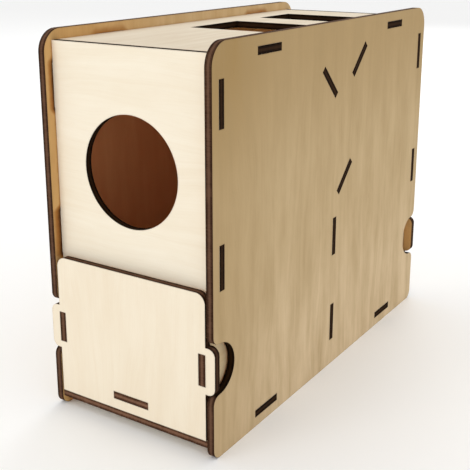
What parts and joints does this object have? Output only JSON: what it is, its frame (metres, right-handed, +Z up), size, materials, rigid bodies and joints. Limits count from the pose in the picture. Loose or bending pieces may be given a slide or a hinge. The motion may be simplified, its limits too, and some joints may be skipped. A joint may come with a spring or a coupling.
{
  "type": "plywood drop-through box with drawers",
  "caption": "Narrow slotted plywood box: openings in the top feed slanted deflectors, a divider and a pull-out drawer at each end; round hole in the front.",
  "frame": {"origin": "middle of the footprint, at the floor under the side panels' lower edges", "axes": "+Z up, +Y towards the rear end, so the end with the round hole faces -Y; +X to the right as seen from that end"},
  "size_m": [0.078, 0.183, 0.151],
  "materials": {
    "side_ply": "raw laser-cut plywood with dark edges",
    "panel_ply": "raw laser-cut plywood with dark edges",
    "inner_ply": "raw laser-cut plywood with dark edges",
    "drawer_face_ply": "raw laser-cut plywood with dark edges",
    "drawer_box_ply": "raw laser-cut plywood with dark edges"
  },
  "bodies": {
    "case": {"left_side_panel": "side_ply", "right_side_panel": "side_ply", "front_panel": "panel_ply", "rear_panel": "panel_ply", "top_panel": "panel_ply", "bottom_panel": "panel_ply", "centre_divider": "inner_ply", "front_deflector": "inner_ply", "rear_deflector": "inner_ply", "lower_deflector": "inner_ply"},
    "front_drawer": {"front_drawer_face": "drawer_face_ply", "front_drawer_left_wall": "drawer_box_ply", "front_drawer_right_wall": "drawer_box_ply", "front_drawer_bottom": "drawer_box_ply", "front_drawer_back": "drawer_box_ply"},
    "rear_drawer": {"rear_drawer_face": "drawer_face_ply", "rear_drawer_left_wall": "drawer_box_ply", "rear_drawer_right_wall": "drawer_box_ply", "rear_drawer_bottom": "drawer_box_ply", "rear_drawer_back": "drawer_box_ply"}
  },
  "joints": [
    {"name": "front_drawer_slide", "type": "slide", "parent": "case", "child": "front_drawer", "axis": [0, -1, 0], "range_m": [0, 0.07]},
    {"name": "rear_drawer_slide", "type": "slide", "parent": "case", "child": "rear_drawer", "axis": [0, 1, 0], "range_m": [0, 0.07]}
  ]
}
